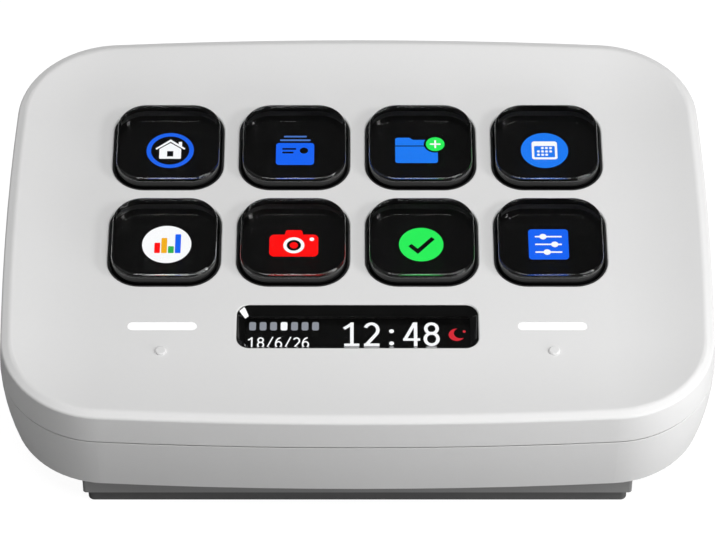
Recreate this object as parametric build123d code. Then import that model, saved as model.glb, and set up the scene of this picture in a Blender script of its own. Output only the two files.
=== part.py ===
from build123d import *
import math
import os

# Eight-key display keypad for a desk: a soft-cornered slab with a dished top,
# tilted on a wedge-shaped stand with a rubber foot.
#
# Everything in the slab is drawn in the "face frame": x to the right, t towards
# the rear along the top face, n along the normal of the top face, n = 0 on the
# flat middle of that face. FACE places that frame in the desk frame (+Z up,
# +Y to the rear, origin on the desk under the middle of the keypad).
# All sizes are in millimetres.

# ---------------------------------------------------------------- overall form
THETA = 2.5          # tilt of the top face, degrees
TOTAL_HEIGHT = 26.0  # desk to the highest point of the rim
HALF_W = 53.44       # half width at the parting line
HALF_D = 39.12       # half depth at the parting line, along the face
SAG_SIDE = 1.5       # how far the left and right sides bow outwards
SAG_END = 2.15       # how far the front and rear sides bow outwards
CORNER_R = 15.8      # plan radius of the four corners

RIM_IN = 0.385       # rim edge lies this far inside the parting line
RIM_N = 1.09         # height of the rim's outer edge
BAND_IN = 1.80       # a point of the dish's arc, carried on to the rim band
BAND_N = 1.45
CREST_IN = 1.99      # the crest between band and dish is rounded up to here
CREST_R = 1.2
BAND_SLOPE = 19.0    # the flat band falls outwards by this many degrees
WALL_LEAN = 80.0     # slope of the wall where it meets the rim's rounding
EDGE_R = 0.45        # rounding of the rim's outer edge
DISH_IN = 14.87      # where the dish runs out into the flat middle
PART_N = -3.93       # parting line: lower edge of the top cover
SEAM = 0.25          # shadow gap between cover and bottom case
CASE_TOP_N = PART_N - SEAM
CASE_BOTTOM_N = -15.63
CASE_BOTTOM_IN = 1.37  # lower edge of the case, inside the parting line
COVER_WALL = 1.9
CASE_WALL = 2.0
PLATE_T = 1.3        # thickness of the cover's flat plate
FLOOR_T = 2.0        # thickness of the case floor

# ------------------------------------------------------------------------ keys
PITCH = 19.37
KEY_X = [-1.5 * PITCH, -0.5 * PITCH, 0.5 * PITCH, 1.5 * PITCH]
KEY_T = [16.37, -3.01]   # rear row, front row
KEY_HOLE = 17.08
KEY_HOLE_R = 5.0
CAP_TOP_N = 1.70         # caps stand this proud of the flat face
CAP_BASE = 16.12         # side of the square cap in the hole
CAP_CROWN = 15.72        # side of the square cap at its crown
CAP_R = 4.55
CAP_EDGE = 0.5           # rounding of the crown's edge
FLANGE = 18.2            # retaining flange under the guide frame's collar
FLANGE_R = 5.4
FLANGE_TOP = -1.65
FLANGE_BOTTOM = -2.05
COLLAR_OUT = 17.00       # collar of the guide frame, lining each hole
COLLAR_IN = 16.52
COLLAR_TOP = -0.16
COLLAR_WEB = -1.58
GUIDE_HOLE = 18.75       # the guide frame's cells keep the flanges in line
GUIDE_HOLE_R = 5.65
GUIDE_TOP = -PLATE_T
GUIDE_BOTTOM = -2.95
KEY_TRAVEL = 0.9
HOLE_EDGE = 0.14         # small chamfer round the holes in the cover

# ------------------------------------------------------- info window and touch
WIN_T = -19.30
WIN_W = 35.85
WIN_D = 8.38
WIN_R = 2.0
PANE_TOP = -1.24         # top of the clear pane on the floor of the status window
PANE_BOTTOM = -3.04
BEZEL_TOP = -0.16        # the black bezel slopes down to the pane at 45 degrees
BEZEL_FACET = 0.08
BAR_X = 28.9
BAR_T = -19.33
BAR_L = 10.25
BAR_W = 1.50
BUMP_X = 29.0
BUMP_T = -24.15
BUMP_R = 0.85
BUMP_H = 0.30
BUMP_EDGE = 0.24

# --------------------------------------------------------- display and boards
LCD_HALF_W = 40.5
LCD_T0, LCD_T1 = -25.2, 26.6
LCD_TOP, LCD_BOTTOM = -3.25, -4.65
FILM_TOP = -3.15
MEMBRANE_SHEET_TOP = -3.00
TRAY_RIM, TRAY_BOTTOM = -3.60, -6.50
BOARD_TOP, BOARD_BOTTOM = -8.70, -9.90
FLOOR_N = CASE_BOTTOM_N + FLOOR_T

SCREW_X, SCREW_T = 36.0, 30.5        # four case screws
TRAY_EAR_X = 44.3                    # four tray screws
TRAY_EAR_T = [-14.0, 18.0]
BOARD_BOSS = [(-37.3, -22.6), (37.3, -22.6), (-37.3, 22.6), (37.3, 22.6)]
STAND_BOSS = [(-37.3, -12.0), (37.3, -12.0), (-37.3, 12.0), (37.3, 12.0)]

# ---------------------------------------------------------------------- socket
USB_W, USB_H, USB_L = 8.94, 3.26, 7.35
USB_N = BOARD_TOP + USB_H / 2 + 0.02
USB_MOUTH = 38.35

# ------------------------------------------------------------- stand and foot
STAND_HALF_W = 40.85
STAND_FRONT, STAND_REAR = -35.36, 33.6
STAND_R = 0.5
STAND_Z = 2.75          # underside of the stand, top of the rubber foot
FOOT_HALF_W = 40.20
FOOT_FRONT, FOOT_REAR = -34.56, 32.9
FOOT_R = 0.9
FOOT_EDGE = 0.25

os.makedirs("parts", exist_ok=True)


# ================================================================ drawing tools
def unit(ax, ay):
    d = math.hypot(ax, ay)
    return ax / d, ay / d


def outline_arcs():
    """The plan outline as eight tangent arcs: (cx, cy, r, start, end) in degrees."""
    a, b, r = HALF_W, HALF_D, CORNER_R
    rx = (b * b + SAG_SIDE**2) / (2 * SAG_SIDE)
    ry = (a * a + SAG_END**2) / (2 * SAG_END)
    cx, cy = a - rx, b - ry
    # corner centre: on both circles offset inwards by the corner radius
    d = math.hypot(cx, cy)
    r1, r2 = rx - r, ry - r
    k = (r1 * r1 - r2 * r2 + d * d) / (2 * d)
    h = math.sqrt(max(r1 * r1 - k * k, 0.0))
    ux, uy = unit(-cx, cy)
    best = None
    for s in (1, -1):
        px, py = cx + k * ux - s * h * uy, k * uy + s * h * ux
        if px > 0 and py > 0:
            best = (px, py)
    kx, ky = best
    al = math.degrees(math.atan2(ky, kx - cx))
    be = math.degrees(math.atan2(ky - cy, kx))
    return [
        (cx, 0.0, rx, -al, al),
        (kx, ky, r, al, be),
        (0.0, cy, ry, be, 180 - be),
        (-kx, ky, r, 180 - be, 180 - al),
        (-cx, 0.0, rx, 180 - al, 180 + al),
        (-kx, -ky, r, 180 + al, 180 + be),
        (0.0, -cy, ry, 180 + be, 360 - be),
        (kx, -ky, r, 360 - be, 360 - al),
    ]


ARCS = outline_arcs()


def on_arc(arc, deg, inset):
    cx, cy, r, _, _ = arc
    g = math.radians(deg)
    return cx + (r - inset) * math.cos(g), cy + (r - inset) * math.sin(g)


def outline_face(inset, n):
    """Flat face inside the outline, offset inwards by inset, at height n."""
    edges = []
    for arc in ARCS:
        a0, a1 = arc[3], arc[4]
        p = [on_arc(arc, g, inset) for g in (a0, (a0 + a1) / 2, a1)]
        edges.append(
            Edge.make_three_point_arc(
                *[Vector(x, y, n) for x, y in p]
            )
        )
    return Face(Wire(edges))


def prism(inset, n0, n1):
    return extrude(outline_face(inset, n0), amount=n1 - n0, dir=(0, 0, 1))


def ring(profile, inset_in, n0, n1):
    """Solid of revolution pieces that carry a profile round the outline, plus
    the prism inside them. The profile is a list of primitives in (inset, n)."""
    body = prism(inset_in, n0, n1)
    for arc in ARCS:
        cx, cy, r, a0, a1 = arc
        g = math.radians(a0)
        c, s = math.cos(g), math.sin(g)

        def place(q):
            return Vector(cx + (r - q[0]) * c, cy + (r - q[0]) * s, q[1])

        edges = []
        for prim in profile:
            pts = [place(q) for q in prim]
            if len(pts) == 2:
                edges.append(Edge.make_line(*pts))
            else:
                edges.append(Edge.make_three_point_arc(*pts))
        face = Face(Wire(edges))
        body += revolve(face, Axis((cx, cy, 0), (0, 0, 1)), a1 - a0)
    return body.clean() if hasattr(body, "clean") else body


def rrect(w, d, r, x=0.0, t=0.0):
    return Pos(x, t, 0) * RectangleRounded(w, d, r)


def plate(sketch, n0, n1):
    return extrude(Pos(0, 0, n0) * sketch, amount=n1 - n0, dir=(0, 0, 1))


def slab(x0, x1, t0, t1, n0, n1):
    return Pos((x0 + x1) / 2, (t0 + t1) / 2, (n0 + n1) / 2) * Box(
        x1 - x0, t1 - t0, n1 - n0
    )


def rod(x, t, r, n0, n1):
    return Pos(x, t, (n0 + n1) / 2) * Cylinder(r, n1 - n0)


def one(shape):
    """A single clean solid out of a boolean's result."""
    solids = shape.solids()
    assert len(solids) == 1, ("expected one solid", len(solids))
    return solids[0]


# ================================================================== slab shells
wall_mid_in = 0.354 * RIM_IN
# the dish: an arc that runs tangent into the flat middle, with a rounded crest
# where it meets the band
dish_r = ((DISH_IN - BAND_IN) ** 2 + BAND_N**2) / (2 * BAND_N)
dish_g = math.asin((DISH_IN - CREST_IN) / dish_r)
band_g = math.radians(BAND_SLOPE)
crest_x = CREST_IN - CREST_R * math.sin(dish_g)
crest_n = dish_r * (1 - math.cos(dish_g)) - CREST_R * math.cos(dish_g)


def on_crest(g):
    return crest_x + CREST_R * math.sin(g), crest_n + CREST_R * math.cos(g)


def on_dish(g):
    return DISH_IN - dish_r * math.sin(g), dish_r * (1 - math.cos(g))


def on_edge(g):
    """Point of the rim's outer rounding where its slope is g, which starts at the wall."""
    lean = math.radians(WALL_LEAN)
    return (
        RIM_IN - 0.035 + EDGE_R * (math.sin(lean) - math.sin(g)),
        wall_top_n + EDGE_R * (math.cos(g) - math.cos(lean)),
    )


# the wall ends where the rounding that leaves it runs tangent into the band
wall_top_n = 0.0
edge_in, edge_rise = on_edge(band_g)
band_in, band_n = on_crest(-band_g)
wall_top_n = band_n - (band_in - edge_in) * math.tan(band_g) - edge_rise
edge_mid_g = (math.radians(WALL_LEAN) + band_g) / 2
cover_profile = [
    ((0.0, PART_N), (wall_mid_in, (PART_N + RIM_N) / 2), (RIM_IN - 0.035, wall_top_n)),
    ((RIM_IN - 0.035, wall_top_n), on_edge(edge_mid_g), on_edge(band_g)),
    (on_edge(band_g), on_crest(-band_g)),
    (on_crest(-band_g), on_crest((dish_g - band_g) / 2), on_crest(dish_g)),
    (on_dish(dish_g), on_dish(dish_g / 2), (DISH_IN, 0.0)),
    ((DISH_IN, 0.0), (DISH_IN, PART_N)),
    ((DISH_IN, PART_N), (0.0, PART_N)),
]
cover = ring(cover_profile, DISH_IN, PART_N, 0.0)

# hollow inside: full height under the plate, and a rebate for the case's tongue
cover -= prism(COVER_WALL, PART_N - 0.5, -PLATE_T)
cover -= prism(0.98, PART_N - 0.5, -3.00)
# a thinner skin under the dish, following its rise
cover -= prism(3.2, -PLATE_T - 0.1, -0.75) - prism(9.0, -PLATE_T - 0.2, -0.7)


def hole_tool(w, d, r, x, t):
    """Cutter for a hole in the cover, flared at the top for the chamfered edge."""
    tool = plate(rrect(w, d, r, x, t), -3, -HOLE_EDGE)
    g = 2 * (HOLE_EDGE + 0.4)
    low = Pos(x, t, -HOLE_EDGE) * RectangleRounded(w, d, r)
    high = Pos(x, t, 0.4) * RectangleRounded(w + g, d + g, r + g / 2)
    return tool + loft([low.faces()[0], high.faces()[0]], ruled=True)


for kx in KEY_X:
    for kt in KEY_T:
        cover -= hole_tool(KEY_HOLE, KEY_HOLE, KEY_HOLE_R, kx, kt)
cover -= hole_tool(WIN_W, WIN_D, WIN_R, 0, WIN_T)
for s in (-1, 1):
    cover -= plate(Pos(s * BAR_X, BAR_T, 0) * SlotOverall(BAR_L + 0.1, BAR_W + 0.1), -3, 3)
    # raised touch point, a low disc with a rounded edge
    bump = rod(s * BUMP_X, BUMP_T, BUMP_R, -0.3, BUMP_H)
    bump = fillet(bump.edges().group_by(Axis.Z)[-1], BUMP_EDGE)
    cover += bump

# screw bosses: four for the case screws, four for the display tray
for x in (-SCREW_X, SCREW_X):
    for t in (-SCREW_T, SCREW_T):
        cover += rod(x, t, 2.6, -7.90, -0.6)
        cover -= rod(x, t, 1.05, -8.0, -2.6)
for x in (-TRAY_EAR_X, TRAY_EAR_X):
    for t in TRAY_EAR_T:
        cover += rod(x, t, 2.0, TRAY_RIM + 0.05, -0.6)
        cover -= rod(x, t, 0.75, -5.3, -1.2)
# heat stakes that hold the guide frame
for x in (-PITCH, 0.0, PITCH):
    for t in (26.1, 6.68):
        cover += rod(x, t, 0.5, -2.70, -1.0)
top_cover = one(cover)

case_mid = (0.37, -9.9)
case_profile = [
    ((0.12, CASE_TOP_N), (0.041, CASE_TOP_N - 0.036), (0.007, CASE_TOP_N - 0.12)),
    ((0.007, CASE_TOP_N - 0.12), case_mid, (CASE_BOTTOM_IN - 0.03, CASE_BOTTOM_N + 0.16)),
    (
        (CASE_BOTTOM_IN - 0.03, CASE_BOTTOM_N + 0.16),
        (CASE_BOTTOM_IN + 0.04, CASE_BOTTOM_N + 0.045),
        (CASE_BOTTOM_IN + 0.17, CASE_BOTTOM_N),
    ),
    ((CASE_BOTTOM_IN + 0.17, CASE_BOTTOM_N), (DISH_IN, CASE_BOTTOM_N)),
    ((DISH_IN, CASE_BOTTOM_N), (DISH_IN, CASE_TOP_N)),
    # the top of the wall falls away inwards, so that the seam reads as a dark line
    ((DISH_IN, CASE_TOP_N), (1.06, CASE_TOP_N)),
    ((1.06, CASE_TOP_N), (1.06, CASE_TOP_N - 1.25)),
    ((1.06, CASE_TOP_N - 1.25), (0.12, CASE_TOP_N)),
]
case = ring(case_profile, DISH_IN, CASE_BOTTOM_N, CASE_TOP_N)
hollow_profile = [
    ((CASE_WALL, CASE_TOP_N), (CASE_WALL + 0.33, -9.4), (CASE_WALL + 1.05, FLOOR_N)),
    ((CASE_WALL + 1.05, FLOOR_N), (DISH_IN, FLOOR_N)),
    ((DISH_IN, FLOOR_N), (DISH_IN, CASE_TOP_N)),
    ((DISH_IN, CASE_TOP_N), (CASE_WALL, CASE_TOP_N)),
]
case -= ring(hollow_profile, DISH_IN, FLOOR_N, CASE_TOP_N)
# tongue that stands up inside the cover's rebate
case += prism(1.06, CASE_TOP_N - 0.6, -3.10) - prism(CASE_WALL, CASE_TOP_N - 1.0, -3.0)

# bosses on the floor
for x in (-SCREW_X, SCREW_X):
    for t in (-SCREW_T, SCREW_T):
        case += rod(x, t, 2.7, FLOOR_N - 0.5, -7.95)
        case -= rod(x, t, 1.25, -16, -7.0)
        case -= rod(x, t, 2.2, -16, -14.0)
for x, t in BOARD_BOSS:
    case += rod(x, t, 2.3, FLOOR_N - 0.5, BOARD_BOTTOM)
    case -= rod(x, t, 0.85, -13.0, BOARD_BOTTOM + 1)
for x, t in STAND_BOSS:
    case += rod(x, t, 2.5, FLOOR_N - 0.5, -10.9)
    case -= rod(x, t, 0.95, -16, -11.6)
# low ribs round the ballast plate
for s in (-1, 1):
    case += slab(s * 33.9 - 0.5, s * 33.9 + 0.5, -9, 9, FLOOR_N - 0.3, -12.2)
# the socket's opening in the rear wall
case -= (
    Pos(0, 38.0, USB_N) * Rot(90, 0, 0) * extrude(SlotOverall(USB_W + 0.7, USB_H + 0.6), 4, both=True)
)
bottom_case = one(case)


# ======================================================================= keys
def cap(x, t):
    body = plate(rrect(CAP_BASE, CAP_BASE, CAP_R, x, t), FLANGE_BOTTOM, -0.35)
    lower = Pos(x, t, -0.35) * RectangleRounded(CAP_BASE, CAP_BASE, CAP_R)
    upper = Pos(x, t, CAP_TOP_N) * RectangleRounded(CAP_CROWN, CAP_CROWN, CAP_R - (CAP_BASE - CAP_CROWN) / 2)
    crown = loft([lower.faces()[0], upper.faces()[0]], ruled=True)
    body = body + crown
    body = body + plate(rrect(FLANGE, FLANGE, FLANGE_R, x, t), FLANGE_BOTTOM, FLANGE_TOP)
    body = fillet(body.edges().group_by(Axis.Z)[-1], CAP_EDGE)
    return one(body)


keycaps = {}
i = 0
for kt in KEY_T:
    for kx in KEY_X:
        i += 1
        keycaps[f"keycap_{i}"] = cap(kx, kt)

# black guide frame under the cover: a lattice with a cell round each cap's flange
# and a collar that stands up inside each hole
guide = plate(rrect(82.0, 40.6, 2.5, 0, 6.9), GUIDE_BOTTOM, GUIDE_TOP)
for kx in KEY_X:
    for kt in KEY_T:
        guide -= plate(rrect(GUIDE_HOLE, GUIDE_HOLE, GUIDE_HOLE_R, kx, kt), -4, COLLAR_WEB)
        guide += plate(rrect(COLLAR_OUT, COLLAR_OUT, KEY_HOLE_R - 0.04, kx, kt), COLLAR_WEB, COLLAR_TOP)
        guide -= plate(rrect(COLLAR_IN, COLLAR_IN, KEY_HOLE_R - 0.28, kx, kt), -4, 0)
for x in (-PITCH, 0.0, PITCH):
    for t in (26.1, 6.68):
        guide -= rod(x, t, 0.55, -4, 0)
key_guide_frame = one(guide)

# silicone membrane: a sheet with a window under each cap and a spring wall round it
MEMBRANE_TOP = FLANGE_BOTTOM - 0.05
sheet = plate(rrect(81.0, 40.0, 2.0, 0, 6.9), FILM_TOP, MEMBRANE_SHEET_TOP)
for kx in KEY_X:
    for kt in KEY_T:
        sheet += plate(rrect(18.0, 18.0, 5.3, kx, kt), FILM_TOP, MEMBRANE_TOP)
for kx in KEY_X:
    for kt in KEY_T:
        sheet -= plate(rrect(16.7, 16.7, 4.7, kx, kt), -6, 0)
key_membrane = one(sheet)

# printed contact film on the display glass, open over each picture
film = plate(rrect(80.6, 39.8, 2.0, 0, 6.9), LCD_TOP, FILM_TOP)
for kx in KEY_X:
    for kt in KEY_T:
        film -= plate(rrect(16.9, 16.9, 4.7, kx, kt), -6, 0)
contact_film = one(film)

# ==================================================================== display
lcd_panel = one(
    plate(
        rrect(2 * LCD_HALF_W, LCD_T1 - LCD_T0, 0.6, 0, (LCD_T0 + LCD_T1) / 2),
        LCD_BOTTOM,
        LCD_TOP,
    )
)
# tray with the backlight: a pan round the glass with four screw ears
tray_mid = (LCD_T0 + LCD_T1) / 2
tray = plate(rrect(2 * LCD_HALF_W + 1.4, LCD_T1 - LCD_T0 + 1.4, 1.0, 0, tray_mid), TRAY_BOTTOM, TRAY_RIM)
for x in (-TRAY_EAR_X, TRAY_EAR_X):
    for t in TRAY_EAR_T:
        s = 1 if x > 0 else -1
        tray += rod(x, t, 2.4, TRAY_RIM - 1.0, TRAY_RIM)
        tray += slab(min(x, s * 40.6), max(x, s * 40.6), t - 2.4, t + 2.4, TRAY_RIM - 1.0, TRAY_RIM)
tray -= plate(
    rrect(2 * LCD_HALF_W, LCD_T1 - LCD_T0, 0.6, 0, tray_mid), LCD_BOTTOM, 0
)
for x in (-TRAY_EAR_X, TRAY_EAR_X):
    for t in TRAY_EAR_T:
        tray -= rod(x, t, 0.95, -7, -3)
tray -= slab(-22, -6, 26.3, 28, -5.6, -3.0)   # exit of the display ribbon
lcd_tray = one(tray)

# status window: a glossy black bezel slopes down to a thick clear pane
bezel = plate(rrect(WIN_W - 0.10, WIN_D - 0.10, WIN_R - 0.05, 0, WIN_T), PANE_TOP + 0.02, BEZEL_TOP)
b_high, b_low = BEZEL_TOP + 0.20, PANE_TOP - 0.20
mouth = []
for level in (b_low, b_high):
    inset = 0.15 + BEZEL_TOP - level
    mouth.append(Pos(0, WIN_T, level) * RectangleRounded(WIN_W - 2 * inset, WIN_D - 2 * inset, WIN_R + 0.02 - inset))
funnel = loft([mouth[0].faces()[0], mouth[1].faces()[0]], ruled=True)
# a small flat facet crosses each corner of the slope
mid_level = (BEZEL_TOP + PANE_TOP) / 2
reach = WIN_R + 0.02 - (0.15 + BEZEL_TOP - mid_level) - BEZEL_FACET
for sx in (-1, 1):
    for st in (-1, 1):
        corner_x = sx * (WIN_W / 2 - WIN_R - 0.02 + reach * math.sqrt(0.5))
        corner_t = WIN_T + st * (WIN_D / 2 - WIN_R - 0.02 + reach * math.sqrt(0.5))
        facet = Plane(origin=(corner_x, corner_t, mid_level), z_dir=(-0.5 * sx, -0.5 * st, math.sqrt(0.5)))
        funnel -= facet * Pos(0, 0, -3) * Box(7, 7, 6)
bezel -= funnel
info_bezel = one(bezel)
pane = plate(rrect(WIN_W - 0.12, WIN_D - 0.12, WIN_R - 0.06, 0, WIN_T), PANE_BOTTOM, PANE_TOP)
pane += plate(rrect(37.6, 10.1, 2.7, 0, WIN_T), -1.80, -PLATE_T - 0.04)
info_pane = one(pane)
gasket = plate(rrect(37.0, 9.5, 2.5, 0, WIN_T), LCD_TOP, PANE_BOTTOM)
gasket -= plate(rrect(34.9, 7.4, 1.4, 0, WIN_T), -6, 0)
pane_gasket = one(gasket)

# ============================================================== touch point parts
touch = {}
for side, s in (("left", -1), ("right", 1)):
    bar = plate(Pos(s * BAR_X, BAR_T, 0) * SlotOverall(BAR_L, BAR_W), -1.95, -0.02)
    bar += plate(Pos(s * BAR_X, BAR_T, 0) * SlotOverall(BAR_L + 1.4, BAR_W + 1.4), -1.75, -PLATE_T)
    touch[f"light_bar_{side}"] = one(bar)
    x0, x1 = sorted((s * 21.6, s * 37.2))
    board = slab(x0, x1, -27.2, -16.4, -3.15, -2.55)
    touch[f"touch_board_{side}"] = one(board)
    touch[f"touch_pad_{side}"] = one(rod(s * BUMP_X, BUMP_T, 2.9, -2.55, -PLATE_T))
leds = []
for s in (-1, 1):
    for d in (-3.2, 0.0, 3.2):
        leds.append(slab(s * BAR_X + d - 0.8, s * BAR_X + d + 0.8, BAR_T - 0.4, BAR_T + 0.4, -2.55, -2.02))

# ================================================================== main board
board = slab(-41.0, 41.0, -26.6, 27.0, BOARD_BOTTOM, BOARD_TOP) + slab(
    -24.0, 24.0, 26.0, 35.9, BOARD_BOTTOM, BOARD_TOP
)
for x in (-SCREW_X, SCREW_X):
    board -= rod(x, SCREW_T, 3.3, -11, -7)
    board -= rod(x, -SCREW_T, 3.3, -11, -7)
for x, t in BOARD_BOSS:
    board -= rod(x, t, 1.1, -11, -7)
main_board = one(board)

main_chip = one(slab(-13, -2, -4, 7, BOARD_BOTTOM - 0.95, BOARD_BOTTOM))
memory_chip = one(slab(6, 14, -2, 4, BOARD_BOTTOM - 0.85, BOARD_BOTTOM))
passives = []
for n_i in range(6):
    passives.append(slab(-18.6, -17.0, -5 + 2.2 * n_i, -4.2 + 2.2 * n_i, BOARD_BOTTOM - 0.5, BOARD_BOTTOM))
for n_i in range(5):
    passives.append(slab(-11 + 2.4 * n_i, -10.2 + 2.4 * n_i, 9.0, 10.6, BOARD_BOTTOM - 0.5, BOARD_BOTTOM))
passives.append(slab(18.5, 22.5, -1.0, 3.0, BOARD_BOTTOM - 1.15, BOARD_BOTTOM))   # power inductor
passives.append(slab(17.0, 19.0, 30.5, 33.0, BOARD_TOP, BOARD_TOP + 0.8))
passives.append(slab(13.0, 14.2, 33.6, 35.4, BOARD_TOP, BOARD_TOP + 0.8))

connectors = [
    slab(-20.5, -7.5, 29.6, 32.4, BOARD_TOP, BOARD_TOP + 1.1),      # display ribbon
    slab(7.5, 15.5, 29.6, 32.0, BOARD_TOP, BOARD_TOP + 1.1),        # key ribbon
]


def ribbon(x0, x1, pts, t_mm):
    """A flat flexible cable: a strip of constant thickness along points in (t, n)."""
    half = t_mm / 2
    left, right = [], []
    m = len(pts)
    for j in range(m):
        dirs = []
        if j > 0:
            dirs.append(unit(pts[j][0] - pts[j - 1][0], pts[j][1] - pts[j - 1][1]))
        if j < m - 1:
            dirs.append(unit(pts[j + 1][0] - pts[j][0], pts[j + 1][1] - pts[j][1]))
        nx = sum(-q[1] for q in dirs)
        ny = sum(q[0] for q in dirs)
        ux, uy = unit(nx, ny)
        cosine = ux * -dirs[0][1] + uy * dirs[0][0]
        k = half / cosine
        left.append((pts[j][0] + ux * k, pts[j][1] + uy * k))
        right.append((pts[j][0] - ux * k, pts[j][1] - uy * k))
    loop = left + right[::-1]
    face = Face(Wire.make_polygon([Vector(x0, p[0], p[1]) for p in loop], close=True))
    return one(extrude(face, amount=x1 - x0, dir=(1, 0, 0)))


display_ribbon = ribbon(
    -20.0, -8.0,
    [(26.65, -4.9), (27.9, -4.9), (28.5, -5.15), (28.8, -5.7), (28.85, -7.5), (29.05, -7.9), (29.55, -8.0)],
    0.16,
)
key_ribbon = ribbon(
    8.0, 15.0,
    [(26.85, -3.2), (27.75, -3.2), (28.25, -3.4), (28.5, -3.9), (28.6, -7.4), (28.8, -7.85), (29.5, -8.0)],
    0.14,
)
touch_cables = []
for s in (-1, 1):
    x0, x1 = sorted((s * 26.0, s * 31.0))
    touch_cables.append(
        ribbon(
            x0, x1,
            [(-27.25, -2.85), (-28.0, -2.85), (-28.3, -3.15), (-28.3, -8.9), (-28.0, -9.3), (-26.65, -9.3)],
            0.14,
        )
    )

# =================================================================== USB socket
tube = extrude(Rot(90, 0, 0) * SlotOverall(USB_W, USB_H), amount=USB_L, dir=(0, -1, 0))
bore = extrude(Rot(90, 0, 0) * SlotOverall(USB_W - 0.6, USB_H - 0.6), amount=USB_L - 1.0, dir=(0, -1, 0))
socket_shell = Pos(0, USB_MOUTH, USB_N) * (tube - bore)
for sx in (-1, 1):
    for tt in (32.2, 36.0):
        socket_shell += slab(sx * 4.47 - 0.25, sx * 4.47 + 0.25, tt - 0.5, tt + 0.5, BOARD_TOP, USB_N)
usb_socket_shell = one(socket_shell)
tongue = slab(-3.34, 3.34, USB_MOUTH - USB_L + 1.0, USB_MOUTH - 0.9, USB_N - 0.35, USB_N + 0.35)
tongue += slab(-3.3, 3.3, USB_MOUTH - USB_L + 1.0, USB_MOUTH - USB_L + 2.2, USB_N - 1.2, USB_N + 1.2)
usb_socket_tongue = one(tongue)
contacts = []
for j in range(12):
    cx0 = -2.75 + 0.5 * j
    for sgn in (-1, 1):
        n0 = USB_N + (0.35 if sgn > 0 else -0.41)
        contacts.append(slab(cx0 - 0.12, cx0 + 0.12, USB_MOUTH - 4.6, USB_MOUTH - 1.2, n0, n0 + 0.06))

# ================================================================ ballast plate
ballast = plate(rrect(66.2, 64.0, 2.0, 0, 0), FLOOR_N, -11.35)
for x in (-22, 22):
    ballast -= rod(x, 0, 2.0, -14, -10)
ballast_plate = one(ballast)


# ====================================================================== screws
def pan_screw(x, t, head_r, head_n0, head_n1, shank_r, tip_n):
    """Pan-head screw standing on its head: head from head_n0 up to head_n1."""
    low, high = min(head_n0, head_n1), max(head_n0, head_n1)
    s = rod(x, t, head_r, low, high)
    a, b = (high, tip_n) if tip_n > high else (tip_n, low)
    s += rod(x, t, shank_r, a, b)
    drive = high - low
    if tip_n > high:
        s -= rod(x, t, 0.75, low - 0.1, low + 0.55 * drive)
    else:
        s -= rod(x, t, 0.75, high - 0.55 * drive, high + 0.1)
    return one(s)


case_screws = [
    pan_screw(x, t, 2.0, -15.35, -14.0, 1.0, -3.4)
    for x in (-SCREW_X, SCREW_X)
    for t in (-SCREW_T, SCREW_T)
]
board_screws = [pan_screw(x, t, 1.6, BOARD_TOP + 1.0, BOARD_TOP, 0.8, -12.7) for x, t in BOARD_BOSS]
tray_screws = [
    pan_screw(x, t, 1.5, TRAY_RIM - 1.9, TRAY_RIM - 1.0, 0.7, -1.6)
    for x in (-TRAY_EAR_X, TRAY_EAR_X)
    for t in TRAY_EAR_T
]

# ================================================================ desk placement
tilt = math.radians(THETA)
ZC = TOTAL_HEIGHT - (HALF_D - crest_x) * math.sin(tilt) - crest_n * math.cos(tilt) - CREST_R
probe = Location((0, 0, ZC), (THETA, 0, 0))
box = top_cover.moved(probe).bounding_box().add(bottom_case.moved(probe).bounding_box())
YC = -(box.min.Y + box.max.Y) / 2
FACE = Location((0, YC, ZC), (THETA, 0, 0))

# ================================================================= wedge stand
under = Plane(origin=(0, YC - CASE_BOTTOM_N * math.sin(tilt), ZC + CASE_BOTTOM_N * math.cos(tilt)),
              z_dir=(0, -math.sin(tilt), math.cos(tilt)))
mid_y = (STAND_FRONT + STAND_REAR) / 2
blank = Pos(0, mid_y, STAND_Z) * extrude(
    RectangleRounded(2 * STAND_HALF_W, STAND_REAR - STAND_FRONT, STAND_R), amount=14
)
above = Location((0, YC, ZC), (THETA, 0, 0)) * (Pos(0, 0, CASE_BOTTOM_N + 20) * Box(200, 200, 40))
stand_body = blank - above
# hollow, with a floor, walls, two ribs and four screw posts
hollow = Pos(0, mid_y, STAND_Z + 1.8) * extrude(
    RectangleRounded(2 * STAND_HALF_W - 4.0, STAND_REAR - STAND_FRONT - 4.0, 1.0), amount=14
)
keep = Pos(-13, mid_y, 8) * Box(1.4, 80, 20) + Pos(13, mid_y, 8) * Box(1.4, 80, 20)
for x, t in STAND_BOSS:
    keep += FACE * rod(x, t, 3.4, -24, -10)
stand_body = stand_body - (hollow - keep)
for x, t in STAND_BOSS:
    stand_body -= FACE * rod(x, t, 1.2, -26, -14)
    stand_body -= FACE * rod(x, t, 2.2, -26, -17.05)
stand = one(stand_body)

stand_screws = [
    pan_screw(x, t, 2.0, -18.25, -17.05, 0.9, -11.9) for x, t in STAND_BOSS
]

# rubber foot with a rounded lower edge
foot_mid = (FOOT_FRONT + FOOT_REAR) / 2
foot = Pos(0, foot_mid, 0) * extrude(
    RectangleRounded(2 * FOOT_HALF_W, FOOT_REAR - FOOT_FRONT, FOOT_R), amount=STAND_Z
)
foot = fillet(foot.edges().group_by(Axis.Z)[0], FOOT_EDGE)
# a shallow groove runs round the underside, inside the edge
groove = Pos(0, foot_mid, -1) * (
    extrude(RectangleRounded(2 * FOOT_HALF_W - 7.0, FOOT_REAR - FOOT_FRONT - 7.0, 3.0), amount=1.4)
    - extrude(RectangleRounded(2 * FOOT_HALF_W - 9.2, FOOT_REAR - FOOT_FRONT - 9.2, 1.9), amount=1.4)
)
foot -= groove
foot_pad = one(foot)

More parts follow.
